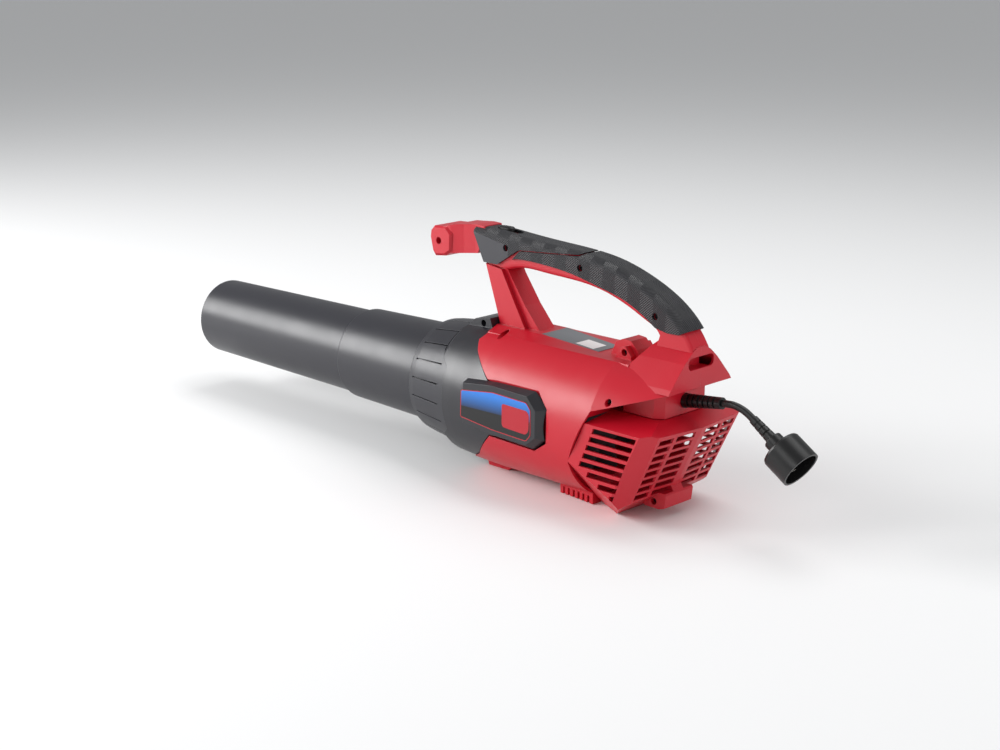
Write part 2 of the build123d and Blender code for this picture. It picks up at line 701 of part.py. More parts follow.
blade_pitch = 40.0  # blade pitch at the tip, degrees
with BuildPart() as fan:
    turned((fan_x - fan_width / 2, 4.0), (fan_x - fan_width / 2, fan_hub_r - 2),
           (fan_x - fan_width / 2 + 2, fan_hub_r), (fan_x + 8, fan_hub_r - 2), (fan_x + fan_width / 2 - 2, 20),
           (fan_x + fan_width / 2, 12), (fan_x + fan_width / 2, 4.0))
    for index in range(fan_blades):
        turn = index * 360 / fan_blades
        out = (0, cos(radians(turn)), sin(radians(turn)))
        across = (0, -sin(radians(turn)), cos(radians(turn)))
        lean = radians(blade_pitch)
        chord = (cos(lean), across[1] * sin(lean), across[2] * sin(lean))
        root = Plane(origin=(axis_x + fan_x - 2, out[1] * (fan_hub_r - 5), axis_z + out[2] * (fan_hub_r - 5)),
                     x_dir=chord, z_dir=out)
        with BuildSketch(root):
            Ellipse(13.0, 1.6)
        extrude(amount=fan_r - fan_hub_r + 8)
    turned((200, fan_r), (200, 90), (280, 90), (280, fan_r), mode=Mode.SUBTRACT)
save(fan, "fan")

with BuildPart() as fan_nut:
    with BuildSketch(section(fan_x + fan_width / 2)):
        RegularPolygon(7.5, 6)
        Circle(4.0, mode=Mode.SUBTRACT)
    extrude(amount=6.0)
save(fan_nut, "fan_nut")

# ---------------------------------------------------------------- switch and slider
with BuildPart() as switch_body:
    with BuildSketch(level(pocket_z + 0.2)):
        with Locations((slider_x, 0)):
            Rectangle(slot_length - 3, 16)
    extrude(amount=4.6)
    chamfer(switch_body.edges().filter_by(Axis.Z), 1.0)
save(switch_body, "switch_body")

pad_x = slider_x - slider_travel / 2
pad_z = 184.3
with BuildPart() as slider:
    with BuildSketch(level(pocket_z + 5.1)):
        with Locations((pad_x, 0)):
            Rectangle(slider_length + 3, 14)
    extrude(amount=2.0)
    with BuildSketch(level(pocket_z + 6.0)):
        with Locations((pad_x, 0)):
            SlotOverall(slider_length, slot_width - 1.6)
    extrude(amount=pad_z - pocket_z - 6.0)
    top_edges = slider.faces().sort_by(Axis.Z)[-1].edges()
    chamfer(top_edges, 1.2)
    for index in range(5):
        with BuildSketch(level(pad_z - 0.8)):
            with Locations((pad_x - 6 + 3 * index, 0)):
                Rectangle(1.2, slot_width)
        extrude(amount=2, mode=Mode.SUBTRACT)
save(slider, "speed_slider")

# ---------------------------------------------------------------- rating label on the rail
label_plane = Plane(origin=(axis_x + rail_stations[1][0], 0, axis_z + rail_stations[1][2]),
                    x_dir=(1, 0, label_slope), z_dir=(-label_slope, 0, 1))
with BuildPart() as rating_label:
    with BuildSketch(label_plane):
        Polygon((0, -19.5), (78, -16.4), (78, 16.4), (0, 19.5), align=None)
    extrude(amount=0.4)
save(rating_label, "rating_label")

# ---------------------------------------------------------------- screws
with BuildPart() as cuff_screw:
    screw(*ear_hole)
save(cuff_screw, "cuff_screw")

with BuildPart() as housing_screws:
    for hole in housing_holes:
        screw(*hole)
save(housing_screws, "housing_screws")

with BuildPart() as grip_screws:
    for x, z in grip_holes:
        screw(x, z, grip_seat)
save(grip_screws, "grip_screws")

with BuildPart() as grille_screw:
    screw(*foot_hole)
save(grille_screw, "grille_screw")

# ---------------------------------------------------------------- leads inside the handle
lead_r = 1.6
mains_lead = [(337, 38.5), (340, 56), (341, 100), (331, 124), (300, 143), (251, 158.5), (207, 164.6),
              (122, 170)]
motor_lead = [(97, 167.5), (97, 141), (136, 75), (136, 44)]
with BuildPart() as leads:
    for route in (mains_lead, motor_lead):
        with BuildLine(side()):
            path = FilletPolyline(*route, radius=5.0)
        with BuildSketch(Plane(origin=path @ 0, z_dir=path % 0)):
            Circle(lead_r)
        sweep(path=path)
save(leads, "power_leads")

# ---------------------------------------------------------------- strain relief, cord and plug
# Centre line of the free cord, from its seat in the strain relief to the plug, as (station, height).
cord_route = [(391.6, 44.15), (404.5, 45.8), (412.5, 45.5), (420.3, 43.7), (427.7, 40.6), (434.4, 36.2)]
points = [Vector(axis_x + x, 0, axis_z + z) for x, z in cord_route]
runs = [end - start for start, end in zip(points, points[1:])]
cord_radii = []
for before, after in zip(runs, runs[1:]):
    shorter = min(before.length, after.length)
    cord_radii.append(0.45 * shorter / tan(radians(before.get_angle(after)) / 2))
print("cord radii", [round(radius, 1) for radius in cord_radii])

with BuildPart() as power_cord:
    with BuildLine():
        cord_path = FilletPolyline(*points, radius=cord_radii)
    with BuildSketch(Plane(origin=cord_path @ 0, z_dir=cord_path % 0)):
        Circle(cord_d / 2)
    sweep(path=cord_path)
print("cord length", round(cord_path.length, 1), "volume ratio",
      round(power_cord.part.volume / (cord_path.length * 3.14159265 * cord_d ** 2 / 4), 4))
save(power_cord, "power_cord")


def turned_along(start, direction, outline, mode=Mode.ADD):
    """A piece turned about a line in the middle plane; outline is (along, radius)."""
    frame = Plane(origin=start, x_dir=direction, z_dir=(0, -1, 0))
    with BuildSketch(frame) as ring:
        Polygon(*outline, align=None)
    revolve(ring.sketch, axis=Axis(start, direction), mode=mode)


boot_start = Vector(axis_x + cord_exit[0], 0, axis_z + cord_exit[1])
boot_way = Vector(47.6, 0, 6.3)
boot_end_r = 6.0
boot_root_r = 7.4
boot_ribs = 6
with BuildPart() as strain_relief:
    turned_along(boot_start, Vector(1, 0, 0), [(-6, 0), (-6, 8.4), (-3.2, 8.4), (-3.2, 6.2), (0, 6.2),
                                               (0, boot_root_r + 0.4), (2.4, boot_root_r + 0.4), (2.4, 0)])
    turned_along(boot_start, boot_way, [(1.4, 0), (1.4, boot_root_r), (boot_way.length, boot_end_r),
                                        (boot_way.length, 0)])
    for index in range(boot_ribs):
        along = 7.0 + 6.4 * index
        turned_along(boot_start, boot_way, [(along, 5.0), (along, 9.0), (along + 2.0, 9.0), (along + 2.0, 5.0)],
                     Mode.SUBTRACT)
    turned_along(points[0], runs[0], [(0, 0), (0, cord_d / 2 + 0.05), (9, cord_d / 2 + 0.05), (9, 0)],
                 Mode.SUBTRACT)
save(strain_relief, "strain_relief")

plug_way = runs[-1]
sleeve_length = 28.0
neck_end = 39.0
cup_end = 70.0
cup_r = 21.4
with BuildPart() as plug_sleeve:
    turned_along(points[-1], plug_way, [(0, 0), (0, 4.7), (sleeve_length, 6.0), (sleeve_length, 0)])
    for index in range(3):
        along = 6.0 + 6.6 * index
        turned_along(points[-1], plug_way, [(along, 4.2), (along, 9.0), (along + 1.6, 9.0), (along + 1.6, 4.2)],
                     Mode.SUBTRACT)
save(plug_sleeve, "plug_sleeve")

with BuildPart() as plug_body:
    turned_along(points[-1], plug_way, [
        (sleeve_length, 0), (sleeve_length, 9.0), (sleeve_length + 1, 9.6), (neck_end, 9.8),
        (neck_end, cup_r - 3), (neck_end + 1, cup_r - 1), (neck_end + 3, cup_r), (cup_end, cup_r),
        (cup_end, cup_r - 2.4), (neck_end + 8, cup_r - 3), (neck_end + 8, 0)])
save(plug_body, "plug_body")

plug_start = points[-1] + plug_way.normalized() * (neck_end + 8)
plug_face = Plane(origin=plug_start, x_dir=(0, 1, 0), z_dir=plug_way)
with BuildPart() as blades:
    with BuildSketch(plug_face):
        with Locations((0, 6.35), (0, -6.35)):
            Rectangle(6.4, 1.6)
    extrude(amount=17.5)
    chamfer(blades.edges().filter_by(Axis.Y).group_by(Axis.X)[-1], 0.4)
save(blades, "plug_blades")
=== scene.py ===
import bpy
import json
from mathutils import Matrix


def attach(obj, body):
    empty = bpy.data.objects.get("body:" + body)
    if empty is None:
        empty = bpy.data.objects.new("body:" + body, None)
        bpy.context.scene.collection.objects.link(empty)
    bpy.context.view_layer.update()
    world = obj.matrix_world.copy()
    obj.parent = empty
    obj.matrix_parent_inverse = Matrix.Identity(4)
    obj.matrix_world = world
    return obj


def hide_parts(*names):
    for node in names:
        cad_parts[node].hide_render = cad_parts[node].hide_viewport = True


bl_info = {
    "name": "Handheld corded leaf blower",
    "version": (1, 0, 0),
    "blender": (4, 5, 0),
    "location": "View3D > Sidebar > Blower",
    "description": "Finishes, labels, screws, lead and studio for a handheld corded leaf blower",
    "category": "Object",
}

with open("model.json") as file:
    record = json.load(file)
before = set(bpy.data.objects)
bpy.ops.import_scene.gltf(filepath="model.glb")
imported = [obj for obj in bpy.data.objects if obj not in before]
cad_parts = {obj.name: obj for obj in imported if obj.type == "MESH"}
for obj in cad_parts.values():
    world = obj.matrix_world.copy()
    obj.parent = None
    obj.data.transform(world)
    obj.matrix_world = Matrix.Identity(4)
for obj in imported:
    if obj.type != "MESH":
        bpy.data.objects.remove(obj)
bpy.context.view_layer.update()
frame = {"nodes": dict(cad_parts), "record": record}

import json
import math

import bpy
from bpy.props import FloatProperty, FloatVectorProperty, PointerProperty
from mathutils import Vector

NODES = frame["nodes"]
MM = 0.001
MACHINE = "machine"

GRAIN_DEPTH = 0.03 * MM
SCRATCH_WIDTH = MM / 2.4            # coarser than real scratches, so that they show
PATCHES_PER_METRE = 28.0
BROW_START, BROW_HEIGHT, BROW_FALL = 88 * MM, 261.5 * MM, -0.17   # top line of the front grip's smooth cheek
CHEEK_END = 136 * MM
RIB_SLANT, RIB_DEPTH = 0.85, 0.6 * MM
BAND_START, BAND_FOOT, BAND_RISE = 133 * MM, 88.5 * MM, 0.02      # lower edge of the labels' blue band
BAND_BLUR, BAND_DEPTH = 0.2 * MM, 18 * MM
PANEL_X, PANEL_Y = (246 * MM, 12.5 * MM), (-4 * MM, 10.5 * MM)    # middle and half length of the white panel
LABEL_BACK, LABEL_FACE, BADGE_FACE = 85.45 * MM, 86.2 * MM, 86.28 * MM
LINE_WIDTH, LABEL_CORNER, BADGE_CORNER = 0.9 * MM, 2.5 * MM, 3.0 * MM


def hex_colour(code):
    """sRGB hex such as C01026 to linear RGBA."""
    parts = [int(code[i:i + 2], 16) / 255 for i in (0, 2, 4)]
    linear = [c / 12.92 if c <= 0.04045 else ((c + 0.055) / 1.055) ** 2.4 for c in parts]
    return (*linear, 1.0)


def colour_property(name, description, code):
    return FloatVectorProperty(name=name, description=description, default=hex_colour(code)[:3],
                               size=3, min=0.0, max=1.0, subtype="COLOR")


def length_property(name, description, millimetres):
    return FloatProperty(name=name, description=description, default=millimetres * MM, min=0.0,
                         unit="LENGTH", precision=5)


# ------------------------------------------------------------------ what a user may change
class BlowerColours(bpy.types.PropertyGroup):
    red: colour_property("Housing red", "Moulded ABS of the housing", "C01026")
    charcoal: colour_property("Tube charcoal", "Tubes and collar", "2A2A30")
    cuff: colour_property("Cuff charcoal", "Front cuff and pods", "26262B")
    grip: colour_property("Grip", "Soft grips", "36363B")
    black: colour_property("Black", "Slider, lead and inner parts", "0E0E0F")
    label_blue: colour_property("Label blue", "Band of the side labels", "2A7BD6")
    rating_grey: colour_property("Rating label", "Label on the top rail", "6F7478")


class BlowerSizes(bpy.types.PropertyGroup):
    edge: length_property("Edge radius", "Rounded look of moulded edges", 0.7)
    grain: length_property("Grain", "Size of the spark-eroded surface grain", 0.55)
    rib_pitch: length_property("Grip rib pitch", "Distance between the fine ribs of the soft grips", 2.6)
    rib_turn: length_property("Grip rib turn", "Length of grip after which the ribs turn back", 17.0)
    screw_head: length_property("Screw head radius", "Radius of every screw head", 3.2)
    screw_shank: length_property("Screw shank radius", "Radius of every screw shank", 1.9)
    lead: length_property("Lead diameter", "Outside diameter of the mains lead", 7.4)


# ------------------------------------------------------------------ shader helpers
def add_node(tree, kind, links=(), **settings):
    """A node of a tree: settings are its properties, inputs are values by name, links are (input, socket)."""
    made = tree.nodes.new(kind)
    inputs = settings.pop("inputs", {})
    for key, value in settings.items():
        setattr(made, key, value)
    for key, value in inputs.items():
        made.inputs[key].default_value = value
    for key, socket in links:
        tree.links.new(socket, made.inputs[key])
    return made


def math_node(tree, operation, first, second=None, third=None):
    """A Math node's output; each operand is a socket or a number."""
    links, inputs = [], {}
    for index, value in enumerate((first, second, third)):
        if isinstance(value, bpy.types.NodeSocket):
            links.append((index, value))
        elif value is not None:
            inputs[index] = value
    return add_node(tree, "ShaderNodeMath", links, operation=operation, inputs=inputs).outputs[0]


def new_material(name):
    """A material with an empty node tree but for its shader and output: (material, tree, shader)."""
    material = bpy.data.materials.new(name)
    material.use_nodes = True
    tree = material.node_tree
    tree.nodes.clear()
    shader = add_node(tree, "ShaderNodeBsdfPrincipled")
    add_node(tree, "ShaderNodeOutputMaterial", [("Surface", shader.outputs[0])])
    return material, tree, shader


def object_axes(tree):
    """Object coordinates as one vector, and as X, Y and Z."""
    coords = add_node(tree, "ShaderNodeTexCoord").outputs["Object"]
    split = add_node(tree, "ShaderNodeSeparateXYZ", [(0, coords)])
    return coords, split.outputs[:3]


def grained(tree, coords, size, radius):
    """Normal of a moulded surface: rounded edges under a grain drawn coarser than a real one, to show."""
    rounded = add_node(tree, "ShaderNodeBevel", samples=4, inputs={"Radius": radius})
    grain = add_node(tree, "ShaderNodeTexNoise", [("Vector", coords)],
                     inputs={"Scale": 1 / size, "Detail": 3.0, "Roughness": 0.6})
    bump = add_node(tree, "ShaderNodeBump", [("Height", grain.outputs[0]), ("Normal", rounded.outputs[0])],
                    inputs={"Strength": 0.5, "Distance": GRAIN_DEPTH})
    return bump.outputs[0]


def uneven(tree, coords, low, high):
    """A roughness that wanders between two values over a few centimetres, as handled plastic does."""
    patches = add_node(tree, "ShaderNodeTexNoise", [("Vector", coords)],
                       inputs={"Scale": PATCHES_PER_METRE, "Detail": 4.0, "Roughness": 0.6})
    return add_node(tree, "ShaderNodeMapRange", [("Value", patches.outputs[0])],
                    inputs={"From Min": 0.3, "From Max": 0.7, "To Min": low, "To Max": high}).outputs[0]


def moulded(name, colour, low, high, grain, edge):
    """Injection-moulded plastic or rubber: one colour, a fine eroded grain and softly rounded edges."""
    material, tree, shader = new_material(name)
    coords, _ = object_axes(tree)
    shader.inputs["Base Color"].default_value = (*colour, 1.0)
    shader.inputs["IOR"].default_value = 1.50
    tree.links.new(uneven(tree, coords, low, high), shader.inputs["Roughness"])
    tree.links.new(grained(tree, coords, grain, edge), shader.inputs["Normal"])
    return material


def metal(name, code, roughness, brushed=0.0):
    """Bare metal with fine scratches; brushed, from 0 to 1, draws them out along the machine's axis."""
    material, tree, shader = new_material(name)
    coords, _ = object_axes(tree)
    shader.inputs["Base Color"].default_value = hex_colour(code)
    shader.inputs["Metallic"].default_value = 1.0
    stretched = add_node(tree, "ShaderNodeMapping", [("Vector", coords)],
                         inputs={"Scale": (400 - 380 * brushed, 1 / SCRATCH_WIDTH, 1 / SCRATCH_WIDTH)})
    scratches = add_node(tree, "ShaderNodeTexNoise", [("Vector", stretched.outputs[0])],
                         inputs={"Scale": 1.0, "Detail": 2.0})
    spread = add_node(tree, "ShaderNodeMapRange", [("Value", scratches.outputs[0])],
                      inputs={"To Min": roughness - 0.08, "To Max": roughness + 0.08})
    tree.links.new(spread.outputs[0], shader.inputs["Roughness"])
    return material


def soft_grip(colours, sizes):
    """Thermoplastic elastomer, overmoulded: dull, with fine ribs that zigzag along the grip, their grooves
    darkened with painted shade.
    """
    material, tree, shader = new_material("Overmoulded TPE grip, zigzag ribs")
    coords, (x, y, z) = object_axes(tree)
    shader.inputs["IOR"].default_value = 1.48
    around = math_node(tree, "SUBTRACT", z, math_node(tree, "ABSOLUTE", y))
    turned = math_node(tree, "PINGPONG", x, sizes.rib_turn)
    slanted = math_node(tree, "ADD", around, math_node(tree, "MULTIPLY", turned, RIB_SLANT))
    phase = math_node(tree, "MULTIPLY", slanted, 2 * math.pi / sizes.rib_pitch)
    wave = math_node(tree, "MULTIPLY_ADD", math_node(tree, "SINE", phase), 0.5, 0.5)
    # the front cheek is smooth, under a brow line that falls towards the rear
    brow = math_node(tree, "MULTIPLY_ADD", math_node(tree, "SUBTRACT", x, BROW_START), BROW_FALL, BROW_HEIGHT)
    cheek = math_node(tree, "MULTIPLY", math_node(tree, "LESS_THAN", z, brow),
                      math_node(tree, "LESS_THAN", x, CHEEK_END))
    ribs = math_node(tree, "MULTIPLY", wave, math_node(tree, "SUBTRACT", 1.0, cheek))
    # the grooves between the ribs are painted near black (0E0E10): painted shade in the creases; the cheek
    # and rib crests keep the grip colour
    grip_colour_and_groove_shade = add_node(tree, "ShaderNodeMix", [("Factor", math_node(tree, "ADD", ribs, cheek))],
                     data_type="RGBA")
    grip_colour_and_groove_shade.inputs[6].default_value = hex_colour("0E0E10")
    grip_colour_and_groove_shade.inputs[7].default_value = (*colours.grip, 1.0)
    tree.links.new(grip_colour_and_groove_shade.outputs[2], shader.inputs["Base Color"])
    edge = add_node(tree, "ShaderNodeBevel", samples=4, inputs={"Radius": sizes.edge})
    bump = add_node(tree, "ShaderNodeBump", [("Height", ribs), ("Normal", edge.outputs[0])],
                    inputs={"Strength": 1.0, "Distance": RIB_DEPTH})
    tree.links.new(bump.outputs[0], shader.inputs["Normal"])
    tree.links.new(uneven(tree, coords, 0.46, 0.50), shader.inputs["Roughness"])
    return material


def side_print(colours):
    """Printed polyester film under satin varnish: a bright blue band over black."""
    material, tree, shader = new_material("Printed film, blue over black")
    _, (x, _, z) = object_axes(tree)
    # the band's lower edge rises slightly towards the rear, and its blue darkens downwards
    edge = math_node(tree, "MULTIPLY_ADD", math_node(tree, "SUBTRACT", x, BAND_START), BAND_RISE, BAND_FOOT)
    height = math_node(tree, "SUBTRACT", z, edge)
    up = add_node(tree, "ShaderNodeMapRange", [("Value", height)],
                  inputs={"From Min": -BAND_BLUR, "From Max": BAND_BLUR})
    deep = add_node(tree, "ShaderNodeMapRange", [("Value", height)],
                    inputs={"From Min": 0.0, "From Max": BAND_DEPTH})
    blue = add_node(tree, "ShaderNodeMix", [("Factor", deep.outputs[0])], data_type="RGBA")
    blue.inputs[6].default_value = hex_colour("0E2C52")
    blue.inputs[7].default_value = (*colours.label_blue, 1.0)
    ramp = add_node(tree, "ShaderNodeMix", [("Factor", up.outputs[0]), (7, blue.outputs[2])],
                    data_type="RGBA")
    ramp.inputs[6].default_value = hex_colour("060607")
    tree.links.new(ramp.outputs[2], shader.inputs["Base Color"])
    shader.inputs["Roughness"].default_value = 0.32
    return material


def rating_print(colours):
    """Printed polyester film: grey, with one plain white panel and no lettering."""
    material, tree, shader = new_material("Printed film, grey with a white panel")
    _, (x, y, _) = object_axes(tree)
    panel = math_node(tree, "MULTIPLY", math_node(tree, "COMPARE", x, *PANEL_X),
                      math_node(tree, "COMPARE", y, *PANEL_Y))
    mix = add_node(tree, "ShaderNodeMix", [("Factor", panel)], data_type="RGBA")
    mix.inputs[6].default_value = (*colours.rating_grey, 1.0)
    mix.inputs[7].default_value = hex_colour("E9EAEA")
    tree.links.new(mix.outputs[2], shader.inputs["Base Color"])
    shader.inputs["Roughness"].default_value = 0.38
    return material


def studio_floor():
    """Matt white paper."""
    material, _, shader = new_material("White paper sweep")
    shader.inputs["Base Color"].default_value = hex_colour("F4F4F4")
    shader.inputs["Roughness"].default_value = 0.9
    shader.inputs["Specular IOR Level"].default_value = 0.1
    return material


def finishes(scene):
    """Every finish by the record's slot name, made once."""
    slots = [material["slot"] for material in frame["record"]["materials"]]
    made = {slot: bpy.data.materials.get("finish " + slot) for slot in slots}
    if all(made.values()):
        return made
    colours, sizes = scene.blower_colours, scene.blower_sizes
    fine, edge = sizes.grain, sizes.edge
    black = colours.black
    made = {
        # ABS, spark-eroded tool: semi-matte, with a broad pale sheen
        "red_shell": moulded("ABS red", colours.red, 0.34, 0.42, fine, edge),
        # polypropylene and filled nylon: near black, a touch glossier than the housing
        "tube_plastic": moulded("Polypropylene charcoal", colours.charcoal, 0.33, 0.40, fine, edge),
        "collar_plastic": moulded("Glass-filled nylon charcoal", colours.charcoal, 0.30, 0.38, fine, edge),
        "cuff_plastic": moulded("ABS charcoal", colours.cuff, 0.30, 0.38, fine, edge),
        # soft rubber: the dullest of the outer parts
        "grip_rubber": soft_grip(colours, sizes),
        "grille_plastic": moulded("ABS red, intake", colours.red, 0.34, 0.42, fine, edge * 0.6),
        # inner plastics and rubber: dull and dark, with crisper edges
        "inner_plastic": moulded("Polypropylene black", black, 0.45, 0.55, fine, edge * 0.6),
        "fan_plastic": moulded("Glass-filled nylon grey", hex_colour("3A3B3D")[:3], 0.5, 0.6, fine,
                               edge * 0.4),
        "seal_rubber": moulded("Nitrile rubber", black, 0.7, 0.8, fine, edge * 0.4),
        # varnished film: smoother than the plastic it lies on
        "side_label_print": side_print(colours),
        "rating_label_print": rating_print(colours),
        # metals and carbon: iron, carbon and the black screws are dull, copper and ground steel brighter
        "motor_iron": metal("Silicon steel laminations", "7A7A7C", 0.45),
        "copper": metal("Enamelled copper wire", "B5653A", 0.35),
        "steel": metal("Ground steel", "A9A9AB", 0.28, 1.0),
        "spring_steel": metal("Drawn spring steel", "9A9A9C", 0.3),
        "brush_carbon": moulded("Sintered carbon", hex_colour("1C1C1D")[:3], 0.6, 0.7, fine, edge * 0.4),
        "screw_steel": metal("Black zinc-plated steel", "3B3B3E", 0.4),
        # insulation, flex, plug and slider: near black; only the plug's blades are bright
        "lead_insulation": moulded("Silicone insulation", black, 0.5, 0.6, fine, edge * 0.4),
        "cord_rubber": moulded("Rubber-sheathed flex", hex_colour("0A0A0B")[:3], 0.30, 0.38, fine,
                               edge * 0.4),
        "plug_rubber": moulded("Moulded PVC plug", hex_colour("0B0B0C")[:3], 0.32, 0.40, fine, edge),
        "blade_metal": metal("Nickel-plated brass", "C9C6BE", 0.22),
        "slider_plastic": moulded("Acetal black", black, 0.34, 0.42, fine, edge * 0.5),
    }
    for slot, material in made.items():
        material.name = "finish " + slot
    return made


# ------------------------------------------------------------------ mesh helpers
def place(obj, body, slot, *nodes):
    """Links a finished piece: it rides on a body and may stand for CAD nodes; slot is not used."""
    if obj.name not in bpy.context.scene.collection.objects:
        bpy.context.scene.collection.objects.link(obj)
    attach(obj, body)
    if nodes:
        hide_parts(*nodes)
    return obj


def plate(name, outline, back, front, material, hole=None):
    """A flat plate standing across Y, from an (x, z) outline; hole is an inner outline as long."""
    turn = 1 if front < back else -1
    points, faces = [], []
    count = len(outline)
    rings = [outline] if hole is None else [outline, hole]
    for ring in rings:
        for y in (front, back):
            points += [(x, y, z) for x, z in ring]
    for index in range(count):
        after = (index + 1) % count
        faces.append((index, index + count, after + count, after))
        if hole is not None:
            inner = 2 * count
            faces.append((inner + after, inner + after + count, inner + index + count, inner + index))
            faces.append((index, after, inner + after, inner + index))
            faces.append((count + after, count + index, inner + count + index, inner + count + after))
    if hole is None:
        faces.append(tuple(range(count)))
        faces.append(tuple(reversed(range(count, 2 * count))))
    mesh = bpy.data.meshes.new(name)
    mesh.from_pydata(points, [], [f if turn > 0 else tuple(reversed(f)) for f in faces])
    mesh.materials.append(material)
    return bpy.data.objects.new(name, mesh)


def area(points):
    """Signed area of an outline, above zero when it runs anticlockwise."""
    return sum(a[0] * b[1] - b[0] * a[1] for a, b in zip(points, points[1:] + points[:1])) / 2


def rounded(points, radius, steps=6):
    """An outline turned anticlockwise, with each corner a curved run of points."""
    if area(points) < 0:
        points = points[::-1]
    made = []
    for before, corner, after in zip(points[-1:] + points[:-1], points, points[1:] + points[:1]):
        corner = Vector(corner)
        back, ahead = Vector(before) - corner, Vector(after) - corner
        reach = min(radius, back.length / 2.2, ahead.length / 2.2)
        start, end = corner + back.normalized() * reach, corner + ahead.normalized() * reach
        for step in range(steps + 1):
            t = step / steps
            made.append(tuple(start * (1 - t) ** 2 + corner * 2 * t * (1 - t) + end * t ** 2))
    return made


def inset(points, distance):
    """An anticlockwise outline moved inwards."""
    made = []
    for before, corner, after in zip(points[-1:] + points[:-1], points, points[1:] + points[:1]):
        a = (Vector(corner) - Vector(before)).normalized()
        b = (Vector(after) - Vector(corner)).normalized()
        normal = (Vector((-a.y, a.x)) + Vector((-b.y, b.x))).normalized()
        made.append(tuple(Vector(corner) + normal * distance))
    return made


# ------------------------------------------------------------------ pieces
# outlines of the side label and its badge, as (x, z) in millimetres
LABEL = [(133, 106), (181, 112.4), (230.5, 111), (236.8, 103.7), (236.8, 76.4), (230.2, 68.7), (181, 70.4),
         (132, 75.5)]
BADGE = [(196.5, 102.8), (231, 102), (234.5, 98.6), (234.0, 80.4), (229.6, 76), (197.5, 77.3), (195, 79.8),
         (195, 100.8)]


class BLOWER_OT_finishes(bpy.types.Operator):
    """Gives every CAD piece the finish of its slot"""
    bl_idname = "blower.finishes"
    bl_label = "Finishes"

    def execute(self, context):
        made = finishes(context.scene)
        for part in frame["record"]["subparts"]:
            for slot in NODES[part["node"]].material_slots:
                slot.material = made[part["material_slot"]]
        return {"FINISHED"}


class BLOWER_OT_labels(bpy.types.Operator):
    """Side labels: printed film in a thin red line, with a plain red badge"""
    bl_idname = "blower.labels"
    bl_label = "Side labels"

    def execute(self, context):
        made = finishes(context.scene)
        film = made["side_label_print"]
        red = moulded("Printed red", hex_colour("B00D22")[:3], 0.28, 0.34, 0.002, 0.0002)
        outline = rounded([(x * MM, z * MM) for x, z in LABEL], LABEL_CORNER)
        inner = inset(outline, LINE_WIDTH)
        badge = rounded([(x * MM, z * MM) for x, z in BADGE], BADGE_CORNER)
        for hand, word in ((-1, "left"), (1, "right")):
            back, face = hand * LABEL_BACK, hand * LABEL_FACE
            field = plate("side_label_field_" + word, inner, back, face, film)
            place(field, MACHINE, "side_label_print", "side_label_" + word)
            line = plate("side_label_line_" + word, outline, back, face, red, inner)
            place(line, MACHINE, "red_shell")
            mark = plate("side_label_badge_" + word, badge, face, hand * BADGE_FACE, red)
            place(mark, MACHINE, "red_shell")
        return {"FINISHED"}


HEAD_HEIGHT = 2.4 * MM
SCREWS = {  # node: (x, z, seat) of each screw, in millimetres
    "cuff_screw": [(108.6, 165.0, 13.0)],
    "housing_screws": [(146.4, 160.0, 18.0), (306.0, 166.0, 13.0), (328.0, 127.0, 34.0)],
    "grip_screws": [(132.4, 250.5, 11.0), (240.6, 244.1, 11.0), (343.0, 209.4, 11.0)],
    "grille_screw": [(351.0, 17.0, 15.0)],
}


